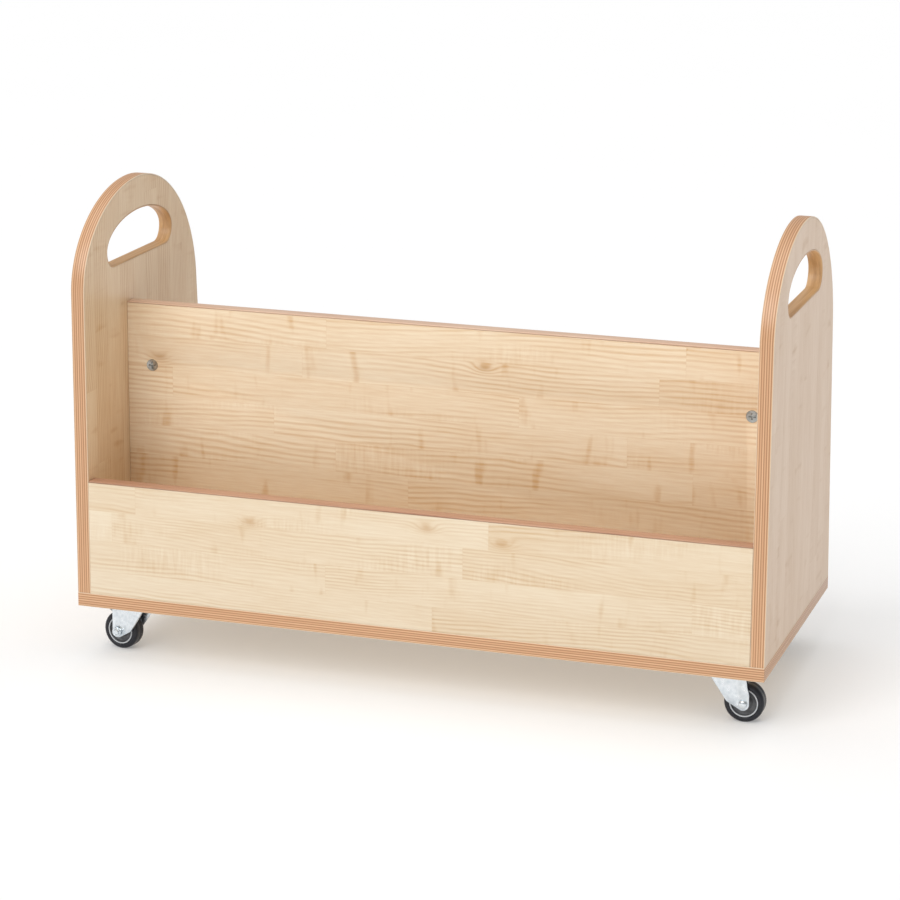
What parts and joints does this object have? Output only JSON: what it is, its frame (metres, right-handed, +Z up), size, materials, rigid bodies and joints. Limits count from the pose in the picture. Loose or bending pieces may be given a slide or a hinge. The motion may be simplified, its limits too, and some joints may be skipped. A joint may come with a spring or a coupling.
{
  "type": "mobile book storage unit",
  "caption": "Low mobile book storage unit: arched end panels with hand holds, front and rear book troughs with a tall divider, on swivel castors.",
  "frame": {"origin": "on the floor, under the middle of the unit's overall box", "axes": "+X along the unit to the right end panel, +Y from the low front panel to the rear panel, +Z up"},
  "size_m": [0.9, 0.39, 0.606],
  "materials": {
    "melamine_board": "maple effect melamine, satin",
    "striped_edging": "ply effect edging, satin",
    "plain_edging": "maple effect edging, satin",
    "beech": "bare beech",
    "zinc_plated_steel": "bright zinc plate",
    "grey_nylon": "moulded nylon",
    "dark_rubber": "moulded rubber"
  },
  "bodies": {
    "unit": {"base_panel": "melamine_board", "base_edging": "striped_edging", "left_end_panel": "melamine_board", "left_end_edging": "striped_edging", "left_handle_lining": "plain_edging", "right_end_panel": "melamine_board", "right_end_edging": "striped_edging", "right_handle_lining": "plain_edging", "front_panel": "melamine_board", "front_top_edging": "plain_edging", "divider_panel": "melamine_board", "divider_top_edging": "plain_edging", "rear_panel": "melamine_board", "rear_top_edging": "plain_edging", "front_cam_left": "zinc_plated_steel", "front_cam_right": "zinc_plated_steel", "divider_cam_left_lower": "zinc_plated_steel", "divider_cam_right_lower": "zinc_plated_steel", "divider_cam_left_upper": "zinc_plated_steel", "divider_cam_right_upper": "zinc_plated_steel", "rear_cam_left": "zinc_plated_steel", "rear_cam_right": "zinc_plated_steel", "front_dowel_left": "beech", "front_dowel_right": "beech", "divider_dowel_left": "beech", "divider_dowel_right": "beech", "rear_dowel_left": "beech", "rear_dowel_right": "beech", "front_left_mounting_plate": "zinc_plated_steel", "front_left_ball_cage": "zinc_plated_steel", "front_left_kingpin": "zinc_plated_steel", "front_right_mounting_plate": "zinc_plated_steel", "front_right_ball_cage": "zinc_plated_steel", "front_right_kingpin": "zinc_plated_steel", "rear_left_mounting_plate": "zinc_plated_steel", "rear_left_ball_cage": "zinc_plated_steel", "rear_left_kingpin": "zinc_plated_steel", "rear_right_mounting_plate": "zinc_plated_steel", "rear_right_ball_cage": "zinc_plated_steel", "rear_right_kingpin": "zinc_plated_steel"},
    "front_left_brake": {"front_left_brake_pedal": "zinc_plated_steel"},
    "front_left_castor": {"front_left_fork": "zinc_plated_steel", "front_left_axle": "zinc_plated_steel", "front_left_brake_pin": "zinc_plated_steel"},
    "front_left_wheel": {"front_left_wheel_centre": "grey_nylon", "front_left_tyre": "dark_rubber"},
    "front_right_castor": {"front_right_fork": "zinc_plated_steel", "front_right_axle": "zinc_plated_steel"},
    "front_right_wheel": {"front_right_wheel_centre": "grey_nylon", "front_right_tyre": "dark_rubber"},
    "rear_left_castor": {"rear_left_fork": "zinc_plated_steel", "rear_left_axle": "zinc_plated_steel"},
    "rear_left_wheel": {"rear_left_wheel_centre": "grey_nylon", "rear_left_tyre": "dark_rubber"},
    "rear_right_brake": {"rear_right_brake_pedal": "zinc_plated_steel"},
    "rear_right_castor": {"rear_right_fork": "zinc_plated_steel", "rear_right_axle": "zinc_plated_steel", "rear_right_brake_pin": "zinc_plated_steel"},
    "rear_right_wheel": {"rear_right_wheel_centre": "grey_nylon", "rear_right_tyre": "dark_rubber"}
  },
  "joints": [
    {"name": "front_left_swivel", "type": "hinge", "parent": "unit", "child": "front_left_castor", "pos_m": [-0.394, -0.135, 0.072], "axis": [0, 0, 1], "continuous": true},
    {"name": "front_left_wheel_spin", "type": "hinge", "parent": "front_left_castor", "child": "front_left_wheel", "pos_m": [-0.41474, -0.13171, 0.025], "axis": [-0.1564, -0.9877, 0], "continuous": true},
    {"name": "front_left_brake_press", "type": "hinge", "parent": "front_left_castor", "child": "front_left_brake", "pos_m": [-0.41869, -0.13109, 0.0565], "axis": [-0.1564, -0.9877, 0], "range_deg": [0, 12]},
    {"name": "front_right_swivel", "type": "hinge", "parent": "unit", "child": "front_right_castor", "pos_m": [0.394, -0.135, 0.072], "axis": [0, 0, 1], "continuous": true},
    {"name": "front_right_wheel_spin", "type": "hinge", "parent": "front_right_castor", "child": "front_right_wheel", "pos_m": [0.415, -0.135, 0.025], "axis": [0, 1, 0], "continuous": true},
    {"name": "rear_left_swivel", "type": "hinge", "parent": "unit", "child": "rear_left_castor", "pos_m": [-0.394, 0.135, 0.072], "axis": [0, 0, 1], "continuous": true},
    {"name": "rear_left_wheel_spin", "type": "hinge", "parent": "rear_left_castor", "child": "rear_left_wheel", "pos_m": [-0.37372, 0.14044, 0.025], "axis": [-0.2588, 0.9659, 0], "continuous": true},
    {"name": "rear_right_swivel", "type": "hinge", "parent": "unit", "child": "rear_right_castor", "pos_m": [0.394, 0.135, 0.072], "axis": [0, 0, 1], "continuous": true},
    {"name": "rear_right_wheel_spin", "type": "hinge", "parent": "rear_right_castor", "child": "rear_right_wheel", "pos_m": [0.37403, 0.14149, 0.025], "axis": [-0.309, -0.9511, 0], "continuous": true},
    {"name": "rear_right_brake_press", "type": "hinge", "parent": "rear_right_castor", "child": "rear_right_brake", "pos_m": [0.37022, 0.14272, 0.0565], "axis": [-0.309, -0.9511, 0], "range_deg": [0, 12]}
  ]
}
